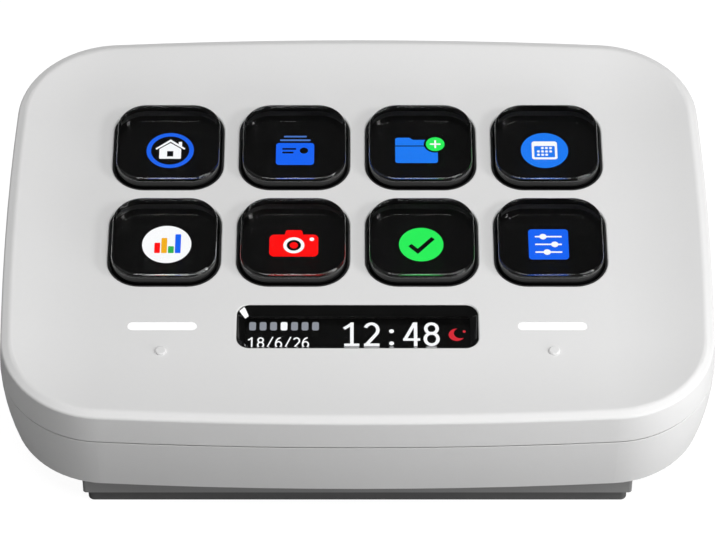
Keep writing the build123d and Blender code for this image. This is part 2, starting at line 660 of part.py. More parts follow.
# ====================================================================== output
in_face = {
    "top_cover": top_cover,
    "bottom_case": bottom_case,
    **keycaps,
    "key_guide_frame": key_guide_frame,
    "key_membrane": key_membrane,
    "contact_film": contact_film,
    "lcd_panel": lcd_panel,
    "lcd_tray": lcd_tray,
    "info_bezel": info_bezel,
    "info_pane": info_pane,
    "pane_gasket": pane_gasket,
    **touch,
    "status_leds": leds,
    "main_board": main_board,
    "main_chip": main_chip,
    "memory_chip": memory_chip,
    "board_passives": passives,
    "board_connectors": connectors,
    "display_ribbon": display_ribbon,
    "key_ribbon": key_ribbon,
    "touch_cables": touch_cables,
    "usb_socket_shell": usb_socket_shell,
    "usb_socket_tongue": usb_socket_tongue,
    "usb_contacts": contacts,
    "ballast_plate": ballast_plate,
    "case_screws": case_screws,
    "board_screws": board_screws,
    "tray_screws": tray_screws,
    "stand_screws": stand_screws,
}
in_desk = {"stand": stand, "foot_pad": foot_pad}


def write(name, shape, where=None):
    solids = []
    for item in shape if isinstance(shape, list) else [shape]:
        solids += item.solids()
    if where is not None:
        solids = [s.moved(where) for s in solids]
    out = solids[0] if len(solids) == 1 else Compound(children=solids)
    export_step(out, f"parts/{name}.step")
    return out


whole = None
for name, shape in in_face.items():
    out = write(name, shape, FACE)
    bb = out.bounding_box()
    whole = bb if whole is None else whole.add(bb)
for name, shape in in_desk.items():
    out = write(name, shape)
    whole = whole.add(out.bounding_box())

print("face frame origin at y", round(YC, 4), "z", round(ZC, 4))
print("overall box", whole.min, whole.max)
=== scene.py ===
import math

import bmesh
import bpy
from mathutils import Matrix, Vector
from mathutils.geometry import delaunay_2d_cdt


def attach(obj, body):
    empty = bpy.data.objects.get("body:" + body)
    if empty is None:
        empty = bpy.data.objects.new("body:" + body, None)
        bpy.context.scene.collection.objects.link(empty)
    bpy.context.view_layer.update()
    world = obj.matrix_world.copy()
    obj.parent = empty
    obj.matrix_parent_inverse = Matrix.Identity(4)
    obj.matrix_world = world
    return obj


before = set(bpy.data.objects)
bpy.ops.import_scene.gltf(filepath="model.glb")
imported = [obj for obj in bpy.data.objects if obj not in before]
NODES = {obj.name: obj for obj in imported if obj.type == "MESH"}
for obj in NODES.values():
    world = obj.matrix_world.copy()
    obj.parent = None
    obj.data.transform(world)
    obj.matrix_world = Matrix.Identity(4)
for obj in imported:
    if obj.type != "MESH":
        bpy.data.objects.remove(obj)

SCENE = bpy.context.scene


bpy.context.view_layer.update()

# ------------------------------------------------------------------ face frame
# x to the right, t to the rear along the top face, n along its normal; millimetres
THETA = math.radians(2.5)
YC, ZC = -0.1841, 22.9334


def place(x, t, n):
    return Vector((
        x,
        t * math.cos(THETA) - n * math.sin(THETA) + YC,
        t * math.sin(THETA) + n * math.cos(THETA) + ZC,
    )) / 1000.0


def link(obj):
    SCENE.collection.objects.link(obj)
    return obj


# ============================================================ material building
class Mat:
    """A node material with one Principled shader and a few shorthand calls."""

    def __init__(self, name, **fixed):
        self.m = bpy.data.materials.new(name)
        self.m.use_nodes = True
        self.nt = self.m.node_tree
        self.nt.nodes.clear()
        self.out = self.nt.nodes.new("ShaderNodeOutputMaterial")
        self.b = self.nt.nodes.new("ShaderNodeBsdfPrincipled")
        self.nt.links.new(self.b.outputs["BSDF"], self.out.inputs["Surface"])
        self.tc = self.nt.nodes.new("ShaderNodeTexCoord")
        for key, value in fixed.items():
            self.b.inputs[key.replace("_", " ")].default_value = value

    def link(self, a, b):
        self.nt.links.new(a, b)

    def coords(self, scale=(1, 1, 1), rot=(0, 0, 0)):
        mp = self.nt.nodes.new("ShaderNodeMapping")
        mp.inputs["Scale"].default_value = scale
        mp.inputs["Rotation"].default_value = rot
        self.link(self.tc.outputs["Object"], mp.inputs["Vector"])
        return mp.outputs["Vector"]

    def noise(self, scale, detail=2.0, rough=0.5, vec=None, distortion=0.0):
        n = self.nt.nodes.new("ShaderNodeTexNoise")
        n.inputs["Scale"].default_value = scale
        n.inputs["Detail"].default_value = detail
        n.inputs["Roughness"].default_value = rough
        n.inputs["Distortion"].default_value = distortion
        self.link(vec if vec is not None else self.tc.outputs["Object"], n.inputs["Vector"])
        return n.outputs["Fac"]

    def voronoi(self, scale, vec=None, feature="F1"):
        n = self.nt.nodes.new("ShaderNodeTexVoronoi")
        n.feature = feature
        n.inputs["Scale"].default_value = scale
        self.link(vec if vec is not None else self.tc.outputs["Object"], n.inputs["Vector"])
        return n.outputs["Distance"]

    def wave(self, scale, vec=None, direction="X", distortion=0.0, profile="SIN"):
        n = self.nt.nodes.new("ShaderNodeTexWave")
        n.bands_direction = direction
        n.wave_profile = profile
        n.inputs["Scale"].default_value = scale
        n.inputs["Distortion"].default_value = distortion
        self.link(vec if vec is not None else self.tc.outputs["Object"], n.inputs["Vector"])
        return n.outputs["Fac"]

    def ramp(self, fac, stops):
        r = self.nt.nodes.new("ShaderNodeValToRGB")
        el = r.color_ramp.elements
        while len(el) > 1:
            el.remove(el[-1])
        el[0].position, el[0].color = stops[0][0], tuple(stops[0][1]) + (1.0,)
        for pos, col in stops[1:]:
            e = el.new(pos)
            e.color = tuple(col) + (1.0,)
        self.link(fac, r.inputs["Fac"])
        return r.outputs["Color"]

    def remap(self, fac, lo, hi, in_lo=0.0, in_hi=1.0):
        r = self.nt.nodes.new("ShaderNodeMapRange")
        r.inputs["From Min"].default_value = in_lo
        r.inputs["From Max"].default_value = in_hi
        r.inputs["To Min"].default_value = lo
        r.inputs["To Max"].default_value = hi
        self.link(fac, r.inputs["Value"])
        return r.outputs["Result"]

    def math(self, op, a, b):
        n = self.nt.nodes.new("ShaderNodeMath")
        n.operation = op
        for i, v in enumerate((a, b)):
            if isinstance(v, (int, float)):
                n.inputs[i].default_value = v
            else:
                self.link(v, n.inputs[i])
        return n.outputs[0]

    def mix(self, fac, a, b):
        n = self.nt.nodes.new("ShaderNodeMix")
        n.data_type = "RGBA"
        for i, v in ((0, fac), (6, a), (7, b)):
            if isinstance(v, (int, float)):
                n.inputs[i].default_value = v
            elif isinstance(v, tuple):
                n.inputs[i].default_value = v + (1.0,)
            else:
                self.link(v, n.inputs[i])
        return n.outputs[2]

    def bump(self, height, distance, strength=1.0, normal=None):
        n = self.nt.nodes.new("ShaderNodeBump")
        n.inputs["Strength"].default_value = strength
        n.inputs["Distance"].default_value = distance
        self.link(height, n.inputs["Height"])
        if normal is not None:
            self.link(normal, n.inputs["Normal"])
        return n.outputs["Normal"]

    def set(self, socket, value):
        self.link(value, self.b.inputs[socket])

    def separate(self, vec=None):
        n = self.nt.nodes.new("ShaderNodeSeparateXYZ")
        self.link(vec if vec is not None else self.tc.outputs["Object"], n.inputs[0])
        return n.outputs


def grey(v, warm=0.0):
    return (v * (1 + warm), v, v * (1 - warm))


def moulded(name, colour, rough=(0.42, 0.52), grain=6500.0, depth=1.6e-6, tint=0.012,
            clouds=22.0, specular=0.5, **fixed):
    """Moulded plastic with a spark-eroded grain and faint tone clouds."""
    m = Mat(name, **fixed)
    m.b.inputs["Specular IOR Level"].default_value = specular
    broad = m.noise(clouds, 3.0, 0.55)
    fine = m.noise(1400.0, 4.0, 0.6)
    lo = tuple(c * (1 - tint) for c in colour)
    hi = tuple(min(1.0, c * (1 + tint)) for c in colour)
    body = m.ramp(broad, [(0.30, lo), (0.70, hi)])
    speck = m.ramp(fine, [(0.35, tuple(c * (1 - tint * 0.6) for c in (1, 1, 1))), (0.65, (1, 1, 1))])
    mul = m.nt.nodes.new("ShaderNodeMix")
    mul.data_type = "RGBA"
    mul.blend_type = "MULTIPLY"
    mul.inputs[0].default_value = 1.0
    m.link(body, mul.inputs[6])
    m.link(speck, mul.inputs[7])
    m.set("Base Color", mul.outputs[2])
    m.set("Roughness", m.remap(m.noise(160.0, 4.0, 0.6), rough[0], rough[1], 0.3, 0.7))
    cells = m.voronoi(grain)
    micro = m.noise(grain * 0.55, 3.0, 0.6)
    both = m.math("ADD", m.math("MULTIPLY", cells, 0.6), micro)
    m.set("Normal", m.bump(both, depth))
    return m.m


def metal(name, colour, rough=(0.22, 0.38), brush=(1, 1, 1), grain=2500.0, depth=1.0e-6, **fixed):
    m = Mat(name, **fixed)
    m.b.inputs["Metallic"].default_value = 1.0
    v = m.coords(brush)
    streak = m.noise(grain, 4.0, 0.65, vec=v)
    m.set("Base Color", m.ramp(streak, [
        (0.25, tuple(c * 0.86 for c in colour)), (0.75, colour)]))
    m.set("Roughness", m.remap(m.noise(300.0, 3.0, 0.6), rough[0], rough[1], 0.3, 0.7))
    m.set("Normal", m.bump(streak, depth))
    return m.m


def glow(name, colour, strength=1.0, grid=0.07):
    """A lit patch of the display: the pixel lattice shows as a faint grid."""
    m = Mat(name)
    m.b.inputs["Base Color"].default_value = (0.004, 0.004, 0.004, 1)
    m.b.inputs["Roughness"].default_value = 0.25
    m.b.inputs["Specular IOR Level"].default_value = 0.2
    m.b.inputs["Emission Strength"].default_value = strength
    wx = m.wave(2800.0, direction="X")
    wy = m.wave(2800.0, direction="Y")
    lattice = m.math("MULTIPLY", wx, wy)
    wander = m.noise(120.0, 2.0, 0.5)
    both = m.math("ADD", m.math("MULTIPLY", lattice, 0.8), m.math("MULTIPLY", wander, 0.2))
    m.set("Emission Color", m.ramp(both, [
        (0.0, tuple(c * (1 - grid) for c in colour)), (0.5, tuple(c * (1 + 0.25 * grid) for c in colour)),
        (1.0, tuple(c * (1 + grid) for c in colour))]))
    return m.m


# ---------------------------------------------------------------- shell plastics
shell = moulded("shell_satin", grey(0.745, 0.002), rough=(0.46, 0.56), depth=1.2e-6, specular=0.26)
# painted shade: the stand is white plastic, but its colour is set dark grey to stand in for the shadow under the
# case's overhang
stand_painted_shade = moulded("stand_satin_painted_shade", grey(0.225, 0.002), rough=(0.48, 0.58), depth=1.6e-6)


def rubber(name, colour):
    m = Mat(name)
    m.b.inputs["Specular IOR Level"].default_value = 0.25
    m.b.inputs["Sheen Weight"].default_value = 0.15
    m.b.inputs["Sheen Roughness"].default_value = 0.6
    dust = m.noise(420.0, 5.0, 0.65)
    m.set("Base Color", m.ramp(dust, [
        (0.30, tuple(c * 0.94 for c in colour)), (0.55, colour), (0.80, tuple(c * 1.05 for c in colour))]))
    m.set("Roughness", m.remap(m.noise(900.0, 3.0, 0.6), 0.72, 0.88, 0.3, 0.7))
    m.set("Normal", m.bump(m.noise(5200.0, 4.0, 0.7), 3.5e-6))
    return m.m


# dark grey rubber, made darker still as painted shade for the shadow under the stand and case
foot_rubber_painted_shade = rubber("foot_silicone_painted_shade", grey(0.096))
membrane = rubber("membrane_silicone", grey(0.022))

# ------------------------------------------------------------------ clear plastic


def clear(name, tint=(0.965, 0.972, 0.975), haze=(0.0, 0.03), depth=2.0e-7):
    m = Mat(name)
    m.b.inputs["IOR"].default_value = 1.49
    m.b.inputs["Transmission Weight"].default_value = 1.0
    smear = m.noise(210.0, 3.0, 0.6, distortion=0.8)
    m.set("Base Color", m.ramp(smear, [(0.3, tint), (0.7, (0.99, 0.99, 0.99))]))
    m.set("Roughness", m.remap(m.noise(900.0, 4.0, 0.7), haze[0], haze[1], 0.45, 0.8))
    m.set("Normal", m.bump(m.noise(260.0, 2.0, 0.4), depth))
    return m.m


def skirted(name, level, soft):
    """Clear plastic whose side wall is printed black below a level of the face frame."""
    m = Mat(name)
    m.b.inputs["IOR"].default_value = 1.49
    up = m.nt.nodes.new("ShaderNodeVectorMath")
    up.operation = "DOT_PRODUCT"
    up.inputs[1].default_value = (0.0, -math.sin(THETA) * 1000.0, math.cos(THETA) * 1000.0)
    m.link(m.tc.outputs["Object"], up.inputs[0])
    at = level + YC * -math.sin(THETA) + ZC * math.cos(THETA)
    # the print's edge wanders by a few hundredths of a millimetre
    wander = m.math("MULTIPLY", m.noise(900.0, 3.0, 0.6), 0.06)
    height = m.math("ADD", up.outputs["Value"], wander)
    above = m.remap(height, 0.0, 1.0, at - soft, at + soft)
    # faces that lie level stay clear at any height, so the picture shows through
    lie = m.nt.nodes.new("ShaderNodeVectorMath")
    lie.operation = "DOT_PRODUCT"
    lie.inputs[1].default_value = (0.0, -math.sin(THETA), math.cos(THETA))
    m.link(m.tc.outputs["Normal"], lie.inputs[0])
    level_face = m.remap(m.math("MULTIPLY", lie.outputs["Value"], lie.outputs["Value"]), 0.0, 1.0, 0.45, 0.55)
    open_ = m.math("MAXIMUM", above, level_face)
    smear = m.noise(210.0, 3.0, 0.6, distortion=0.8)
    glassy = m.ramp(smear, [(0.3, (0.965, 0.972, 0.975)), (0.7, (0.99, 0.99, 0.99))])
    ink = m.ramp(m.noise(1600.0, 3.0, 0.6), [(0.3, grey(0.0018)), (0.7, grey(0.0032))])
    m.set("Base Color", m.mix(open_, ink, glassy))
    m.set("Transmission Weight", open_)
    m.set("Roughness", m.remap(m.noise(900.0, 4.0, 0.7), 0.0, 0.03, 0.45, 0.8))
    m.set("Normal", m.bump(m.noise(260.0, 2.0, 0.4), 2.0e-7))
    return m.m


cap_clear = skirted("cap_acrylic", 1.16, 0.03)
pane_clear = clear("pane_acrylic", haze=(0.0, 0.02))


def black_gloss(name, level=0.006, rough=(0.03, 0.09), coat=0.4):
    m = Mat(name)
    m.b.inputs["Coat Weight"].default_value = coat
    m.b.inputs["Coat Roughness"].default_value = 0.03
    m.set("Base Color", m.ramp(m.noise(300.0, 3.0, 0.6), [(0.3, grey(level * 0.8)), (0.7, grey(level * 1.2))]))
    m.set("Roughness", m.remap(m.noise(700.0, 4.0, 0.65), rough[0], rough[1], 0.3, 0.75))
    m.set("Normal", m.bump(m.noise(900.0, 2.0, 0.5), 2.5e-7))
    return m.m


bezel_gloss = black_gloss("bezel_gloss", level=0.004, rough=(0.05, 0.12), coat=0.25)
display_glass = black_gloss("display_glass", level=0.0035, rough=(0.06, 0.12), coat=0.0)
display_glass.node_tree.nodes["Principled BSDF"].inputs["Specular IOR Level"].default_value = 0.06
film_dark = black_gloss("film_dark", level=0.012, rough=(0.22, 0.34), coat=0.0)
guide_black = moulded("guide_black", grey(0.010), rough=(0.5, 0.62), depth=2.0e-6, tint=0.08)
foam_black = rubber("foam_black", grey(0.03))
tray_white = moulded("tray_white", grey(0.66), rough=(0.5, 0.6), depth=2.0e-6)
chip_black = moulded("chip_black", grey(0.028), rough=(0.5, 0.65), grain=9000, depth=2.5e-6, tint=0.1)
connector_beige = moulded("connector_beige", (0.72, 0.66, 0.52), rough=(0.4, 0.5))
tongue_black = moulded("tongue_black", grey(0.02), rough=(0.4, 0.5), tint=0.06)
socket_steel = metal("socket_steel", (0.66, 0.66, 0.65), brush=(6, 1, 1), rough=(0.2, 0.34))
contact_gold = metal("contact_gold", (0.86, 0.64, 0.26), rough=(0.14, 0.26), brush=(1, 6, 1))
ballast_steel = metal("ballast_steel", (0.50, 0.50, 0.49), rough=(0.32, 0.5), brush=(1, 12, 1), grain=900)
screw_steel = metal("screw_steel", (0.30, 0.30, 0.31), rough=(0.28, 0.42))


def light_guide_material():
    m = Mat("light_guide")
    m.b.inputs["Base Color"].default_value = (0.30, 0.30, 0.30, 1)
    m.b.inputs["Roughness"].default_value = 0.4
    m.b.inputs["Emission Strength"].default_value = 0.80
    # three lamps behind each bar show as faint swells along it
    swell = m.wave(156.0, direction="X")
    milky = m.noise(700.0, 3.0, 0.6)
    both = m.math("ADD", m.math("MULTIPLY", swell, 0.7), m.math("MULTIPLY", milky, 0.3))
    m.set("Emission Color", m.ramp(both, [(0.0, (0.93, 0.935, 0.94)), (1.0, (1.0, 1.0, 1.0))]))
    m.set("Normal", m.bump(m.noise(1800.0, 2.0, 0.5), 1.0e-6))
    return m.m


light_guide = light_guide_material()


def board_material():
    m = Mat("board_green")
    m.b.inputs["Coat Weight"].default_value = 0.3
    brick = m.nt.nodes.new("ShaderNodeTexBrick")
    brick.inputs["Scale"].default_value = 260.0
    brick.inputs["Mortar Size"].default_value = 0.06
    brick.inputs["Color1"].default_value = (0.010, 0.085, 0.040, 1)
    brick.inputs["Color2"].default_value = (0.014, 0.110, 0.052, 1)
    brick.inputs["Mortar"].default_value = (0.030, 0.190, 0.085, 1)
    m.link(m.tc.outputs["Object"], brick.inputs["Vector"])
    dots = m.voronoi(520.0)
    pads = m.ramp(dots, [(0.10, (0.62, 0.52, 0.26)), (0.14, (0.012, 0.1, 0.045))])
    mask = m.ramp(dots, [(0.10, (1, 1, 1)), (0.14, (0, 0, 0))])
    n = m.nt.nodes.new("ShaderNodeMix")
    n.data_type = "RGBA"
    m.link(mask, n.inputs[0])
    m.link(brick.outputs["Color"], n.inputs[6])
    m.link(pads, n.inputs[7])
    m.set("Base Color", n.outputs[2])
    m.set("Roughness", m.remap(m.noise(800.0, 3.0, 0.6), 0.28, 0.42, 0.3, 0.7))
    m.set("Normal", m.bump(brick.outputs["Fac"], 8.0e-6))
    return m.m


board_green = board_material()


def ribbon_material():
    m = Mat("ribbon_amber")
    tracks = m.wave(1000.0, direction="X")
    m.set("Base Color", m.ramp(tracks, [
        (0.30, (0.36, 0.15, 0.025)), (0.55, (0.62, 0.33, 0.07))]))
    m.set("Roughness", m.remap(m.noise(600.0, 3.0, 0.6), 0.22, 0.36, 0.3, 0.7))
    m.set("Normal", m.bump(tracks, 6.0e-6))
    return m.m


ribbon_amber = ribbon_material()


def led_material():
    m = Mat("led_white")
    m.b.inputs["Emission Strength"].default_value = 0.8
    cell = m.noise(1500.0, 2.0, 0.5)
    m.set("Base Color", m.ramp(cell, [(0.3, (0.80, 0.78, 0.62)), (0.7, (0.92, 0.90, 0.76))]))
    m.set("Emission Color", m.ramp(cell, [(0.3, (0.85, 0.88, 0.95)), (0.7, (1, 1, 1))]))
    m.set("Roughness", m.remap(m.noise(900.0, 2.0, 0.5), 0.3, 0.45, 0.3, 0.7))
    return m.m


led_white = led_material()

FINISH = {
    "top_cover": shell, "bottom_case": shell, "stand": stand_painted_shade, "foot_pad": foot_rubber_painted_shade,
    "key_guide_frame": guide_black, "key_membrane": membrane, "contact_film": film_dark,
    "lcd_panel": display_glass, "lcd_tray": tray_white, "info_bezel": bezel_gloss,
    "info_pane": pane_clear, "pane_gasket": foam_black, "light_bar_left": light_guide, "light_bar_right": light_guide,
    "touch_board_left": board_green, "touch_board_right": board_green,
    "touch_pad_left": foam_black, "touch_pad_right": foam_black, "status_leds": led_white,
    "main_board": board_green, "main_chip": chip_black, "memory_chip": chip_black,
    "board_passives": chip_black, "board_connectors": connector_beige,
    "display_ribbon": ribbon_amber, "key_ribbon": ribbon_amber, "touch_cables": ribbon_amber,
    "usb_socket_shell": socket_steel, "usb_socket_tongue": tongue_black, "usb_contacts": contact_gold,
    "ballast_plate": ballast_steel, "case_screws": screw_steel, "board_screws": screw_steel,
    "tray_screws": screw_steel, "stand_screws": screw_steel,
}
for i in range(1, 9):
    FINISH["keycap_%d" % i] = cap_clear
for name, obj in NODES.items():
    for s in obj.material_slots:
        s.material = FINISH[name]

# ================================================================ display picture
# Flat shapes are drawn in millimetres, cut against each other, and given a small
# thickness on the display glass.


def arc(cx, cy, rx, ry, a0, a1, n=24):
    out = []
    for k in range(n + 1):
        g = math.radians(a0 + (a1 - a0) * k / n)
        out.append((cx + rx * math.cos(g), cy + ry * math.sin(g)))
    return out


def disc(cx, cy, r, n=96):
    return arc(cx, cy, r, r, 0, 360, n)[:-1]


def box2(x0, x1, y0, y1):
    return [(x0, y0), (x1, y0), (x1, y1), (x0, y1)]


def rounded(x0, x1, y0, y1, r, n=8):
    return (arc(x1 - r, y0 + r, r, r, -90, 0, n) + arc(x1 - r, y1 - r, r, r, 0, 90, n)
            + arc(x0 + r, y1 - r, r, r, 90, 180, n) + arc(x0 + r, y0 + r, r, r, 180, 270, n))


def soften(points, r, n=6):
    """The polygon with each corner rounded by a radius of r, or less on short sides."""
    out = []
    m = len(points)
    for k in range(m):
        a, b, c = (Vector(points[(k + d) % m]) for d in (-1, 0, 1))
        u, v = (a - b), (c - b)
        lu, lv = u.length, v.length
        u.normalize()
        v.normalize()
        half = math.acos(max(-1, min(1, u.dot(v)))) / 2
        if half < 0.02 or half > 1.55:
            out.append(tuple(b))
            continue
        cut = min(r / math.tan(half), 0.45 * lu, 0.45 * lv)
        rr = cut * math.tan(half)
        centre = b + (u + v).normalized() * (rr / math.sin(half))
        p0, p1 = b + u * cut, b + v * cut
        a0 = math.atan2(p0.y - centre.y, p0.x - centre.x)
        a1 = math.atan2(p1.y - centre.y, p1.x - centre.x)
        while a1 - a0 > math.pi:
            a1 -= 2 * math.pi
        while a1 - a0 < -math.pi:
            a1 += 2 * math.pi
        for j in range(n + 1):
            g = a0 + (a1 - a0) * j / n
            out.append((centre.x + rr * math.cos(g), centre.y + rr * math.sin(g)))
    return out


def stroke(points, width):
    """Outline of an open line of constant width, with square ends."""
    h = width / 2
    left, right = [], []
    m = len(points)
    for j in range(m):
        dirs = []
        for a, b in ((j - 1, j), (j, j + 1)):
            if a >= 0 and b < m:
                d = Vector(points[b]) - Vector(points[a])
                dirs.append(d.normalized())
        nx = sum(-d.y for d in dirs)
        ny = sum(d.x for d in dirs)
        u = Vector((nx, ny)).normalized()
        k = h / max(0.35, u.dot(Vector((-dirs[0].y, dirs[0].x))))
        p = Vector(points[j])
        left.append(tuple(p + u * k))
        right.append(tuple(p - u * k))
    return left + right[::-1]


def hoop(cx, cy, rx, ry, width, n=72):
    h = width / 2
    return [("+", arc(cx, cy, rx + h, ry + h, 0, 360, n)[:-1]), ("-", arc(cx, cy, rx - h, ry - h, 0, 360, n)[:-1])]


def plus(*polys):
    return [("+", p) for p in polys]


def moved(group, dx=0.0, dy=0.0, k=1.0):
    return [(s, [(x * k + dx, y * k + dy) for x, y in p]) for s, p in group]


def area2(p):
    return sum(p[i][0] * p[(i + 1) % len(p)][1] - p[(i + 1) % len(p)][0] * p[i][1] for i in range(len(p)))


def region(groups, cuts=()):
    """Triangles of the union of the groups, less the cuts. Each group is a list of
    ('+', polygon) and ('-', polygon) applied in order."""
    verts, faces, owner = [], [], []
    for gi, group in enumerate(groups):
        for oi, (sign, poly) in enumerate(group):
            if area2(poly) < 0:
                poly = poly[::-1]
            first = len(verts)
            verts += [Vector(p) for p in poly]
            faces.append(list(range(first, first + len(poly))))
            owner.append(("g", gi, oi, sign))
    for poly in cuts:
        if area2(poly) < 0:
            poly = poly[::-1]
        first = len(verts)
        verts += [Vector(p) for p in poly]
        faces.append(list(range(first, first + len(poly))))
        owner.append(("c", 0, 0, "-"))
    out = delaunay_2d_cdt(verts, [], faces, 1, 1e-6, True)
    new_verts, new_faces, from_faces = out[0], out[2], out[5]
    kept = []
    for f, src in zip(new_faces, from_faces):
        on = False
        for gi, group in enumerate(groups):
            state = False
            for oi, (sign, _) in enumerate(group):
                if any(owner[s] == ("g", gi, oi, sign) for s in src):
                    state = sign == "+"
            on = on or state
        if any(owner[s][0] == "c" for s in src):
            on = False
        if on:
            kept.append(tuple(f))
    return [tuple(v) for v in new_verts], kept


LIT_TOP, LIT_BOTTOM = -3.23, -3.256


def lit_piece(name, layers, centre):
    """One object from (material, groups, cuts) layers drawn about centre (x, t)."""
    mesh = bpy.data.meshes.new(name)
    bm = bmesh.new()
    cx, ct = centre
    for index, (material, groups, cuts) in enumerate(layers):
        mesh.materials.append(material)
        pts, tris = region(groups, cuts)
        used = sorted({i for t in tris for i in t})
        top = {i: bm.verts.new(place(pts[i][0] + cx, pts[i][1] + ct, LIT_TOP)) for i in used}
        low = {i: bm.verts.new(place(pts[i][0] + cx, pts[i][1] + ct, LIT_BOTTOM)) for i in used}
        sides = {}
        for t in tris:
            for a, b in ((t[0], t[1]), (t[1], t[2]), (t[2], t[0])):
                sides[(a, b)] = True
        for t in tris:
            f = bm.faces.new([top[i] for i in t])
            f.material_index = index
            f = bm.faces.new([low[i] for i in reversed(t)])
            f.material_index = index
        for a, b in sides:
            if (b, a) not in sides:
                f = bm.faces.new([top[b], top[a], low[a], low[b]])
                f.material_index = index
    bm.normal_update()
    bm.to_mesh(mesh)
    bm.free()
    obj = link(bpy.data.objects.new(name, mesh))
    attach(obj, "root")
    return obj


BLUE = glow("lit_blue", (0.006, 0.140, 1.02))
RING = glow("lit_blue_ring", (0.010, 0.135, 0.930))
BLUE2 = glow("lit_blue_bright", (0.010, 0.215, 1.0))
PALE = glow("lit_blue_pale", (0.075, 0.20, 0.62))
WHITE = glow("lit_white", (0.98, 0.99, 1.0), 1.1)
SILVER = glow("lit_silver", (0.30, 0.32, 0.36))
RED = glow("lit_red", (1.15, 0.001, 0.001))
CRIMSON = glow("lit_crimson", (0.74, 0.024, 0.040))
YELLOW = glow("lit_yellow", (1.0, 0.48, 0.010))
LIME = glow("lit_green_bright", (0.022, 0.960, 0.112))
LEAF = glow("lit_leaf", (0.030, 0.48, 0.080))

# key 1: a house in a ring
house_body = soften([(-1.66, -1.72), (1.70, -1.72), (1.70, 0.30), (0.03, 1.55), (-1.66, 0.30)], 0.16)
roof = soften([(-2.28, 0.42), (-2.10, 0.16), (0.03, 1.84), (2.16, 0.16), (2.34, 0.42), (0.03, 2.30)], 0.07)
chimney = rounded(1.28, 1.80, 0.70, 1.78, 0.08)
door = box2(-0.46, 0.50, -1.26, -0.12)
roof_gap = stroke([(-2.4, -0.16), (0.03, 1.70), (2.46, -0.16)], 0.20)
lit_piece("icon_home", [
    (RING, [hoop(0, 0, 3.30, 3.30, 0.70)], []),
    (WHITE, [plus(house_body), plus(roof), plus(chimney)], [door, roof_gap]),
], (-28.93, 17.43))

# key 2: a stack of cards
card = rounded(-2.94, 2.94, -3.10, 1.46, 0.52)
lit_piece("icon_cards", [
    (BLUE, [plus(card)], [rounded(-1.98, 0.16, 0.04, 0.42, 0.12), rounded(-1.98, -0.24, -0.72, -0.34, 0.12), disc(1.36, -0.12, 0.64)]),
    (PALE, [plus(rounded(-2.36, 2.38, 1.88, 2.22, 0.15)), plus(rounded(-1.76, 1.78, 2.66, 2.97, 0.15))], []),
], (-9.63, 17.53))

# key 3: a folder with a badge
folder = soften([(-3.33, -2.72), (3.24, -2.72), (3.24, 2.10), (-0.55, 2.10), (-1.15, 2.56), (-3.33, 2.56)], 0.42)
badge = (2.86, 1.22)
lit_piece("icon_folder", [
    (BLUE2, [plus(folder)], [box2(-4, 4, 0.72, 0.94), disc(badge[0], badge[1], 1.78)]),
    (LIME, [plus(disc(badge[0], badge[1], 1.44))],
     [rounded(badge[0] - 0.84, badge[0] + 0.84, badge[1] - 0.15, badge[1] + 0.15, 0.12),
      rounded(badge[0] - 0.15, badge[0] + 0.15, badge[1] - 0.84, badge[1] + 0.84, 0.12)]),
    (WHITE, [plus(rounded(badge[0] - 0.83, badge[0] + 0.83, badge[1] - 0.14, badge[1] + 0.14, 0.12)),
             plus(rounded(badge[0] - 0.14, badge[0] + 0.14, badge[1] - 0.83, badge[1] + 0.83, 0.12))], []),
], (9.17, 17.54))

# key 4: a calendar on a disc
sheet_out = rounded(-1.97, 1.97, -1.86, 1.90, 0.42)
sheet_in = rounded(-1.60, 1.60, -1.44, 0.94, 0.16)
days = [disc(x, y, 0.235, 20) for x, y in (
    (-0.31, 0.50), (0.31, 0.50), (0.95, 0.50),
    (-0.95, -0.20), (-0.31, -0.20), (0.31, -0.20), (0.95, -0.20),
    (-0.95, -0.90), (-0.31, -0.90), (0.31, -0.90))]
lit_piece("icon_calendar", [
    (BLUE2, [plus(disc(0, 0, 3.65))], [sheet_out]),
    (BLUE2, [plus(rounded(-1.59, 1.59, -1.43, 0.93, 0.15))], days),
    (WHITE, [[("+", rounded(-1.96, 1.96, -1.85, 1.89, 0.41)), ("-", sheet_in)]]
     + [plus(disc(sum(p[0] for p in d) / 20, sum(p[1] for p in d) / 20, 0.228, 20)) for d in days], []),
], (28.90, 17.43))

# key 5: a small bar chart on a white disc
bars = [(-1.86, -0.98, 0.35), (-0.82, 0.06, 1.30), (0.22, 1.10, -0.35), (1.26, 2.14, 2.05)]
bar_shapes = [rounded(a, b, -1.75, top, 0.14) for a, b, top in bars]
lit_piece("icon_chart", [
    (WHITE, [plus(disc(0, 0, 3.72))], bar_shapes),
    (RED, [plus(rounded(bars[0][0] + 0.01, bars[0][1] - 0.01, -1.74, bars[0][2] - 0.01, 0.13))], []),
    (YELLOW, [plus(rounded(bars[1][0] + 0.01, bars[1][1] - 0.01, -1.74, bars[1][2] - 0.01, 0.13))], []),
    (LEAF, [plus(rounded(bars[2][0] + 0.01, bars[2][1] - 0.01, -1.74, bars[2][2] - 0.01, 0.13))], []),
    (BLUE, [plus(rounded(bars[3][0] + 0.01, bars[3][1] - 0.01, -1.74, bars[3][2] - 0.01, 0.13))], []),
], (-28.85, -1.85))

# key 6: a camera
camera_body = rounded(-3.70, 3.70, -2.45, 1.95, 0.80)
hump = soften([(-1.55, 1.2), (1.55, 1.2), (1.20, 2.85), (-1.20, 2.85)], 0.35)
lit_piece("icon_camera", [
    (RED, [plus(camera_body), plus(hump)], [disc(0, -0.20, 1.60), disc(2.72, 1.02, 0.36, 24)]),
    (WHITE, [[("+", disc(0, -0.20, 1.59)), ("-", disc(0, -0.20, 1.08))], plus(disc(2.72, 1.02, 0.35, 24))], []),
    (RED, [plus(disc(0, -0.20, 0.62))], []),
], (-9.62, -1.83))

